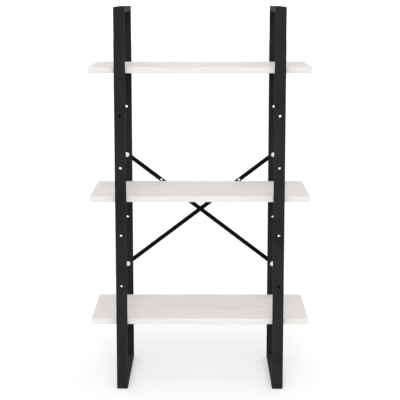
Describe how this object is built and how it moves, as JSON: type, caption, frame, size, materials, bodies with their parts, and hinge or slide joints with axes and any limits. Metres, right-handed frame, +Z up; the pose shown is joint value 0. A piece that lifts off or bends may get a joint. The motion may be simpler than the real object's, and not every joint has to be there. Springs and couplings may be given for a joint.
{
  "type": "shelving unit",
  "caption": "Open tiered shelving unit: closed black steel tube side frames carry white-painted pine boards that overhang them, stiffened by crossed flat bars bolted behind the rear legs.",
  "frame": {"origin": "on the floor, at the centre of the overall box, brace fasteners included", "axes": "+Z up, -Y towards the front that the picture shows, +X to the right of a viewer who faces the front"},
  "size_m": [0.6, 0.31, 1.05],
  "materials": {
    "frame_black": "matt black powder coat on steel tube",
    "brace_black": "matt black powder coat on flat steel bar",
    "shelf_white": "white paint over edge-glued pine, faint grain",
    "fastener_zinc": "bright zinc plate",
    "screw_zinc": "zinc plate"
  },
  "bodies": {
    "root": {"left_front_leg": "frame_black", "left_rear_leg": "frame_black", "left_top_rail": "frame_black", "left_bottom_rail": "frame_black", "left_shelf_bearer_lower": "frame_black", "left_shelf_bearer_middle": "frame_black", "left_shelf_bearer_upper": "frame_black", "right_front_leg": "frame_black", "right_rear_leg": "frame_black", "right_top_rail": "frame_black", "right_bottom_rail": "frame_black", "right_shelf_bearer_lower": "frame_black", "right_shelf_bearer_middle": "frame_black", "right_shelf_bearer_upper": "frame_black", "top_shelf": "shelf_white", "middle_shelf": "shelf_white", "bottom_shelf": "shelf_white", "cross_brace_inner": "brace_black", "cross_brace_outer": "brace_black", "brace_bolts": "fastener_zinc", "brace_washers": "fastener_zinc", "brace_nuts": "fastener_zinc", "shelf_screws": "screw_zinc"}
  },
  "joints": []
}
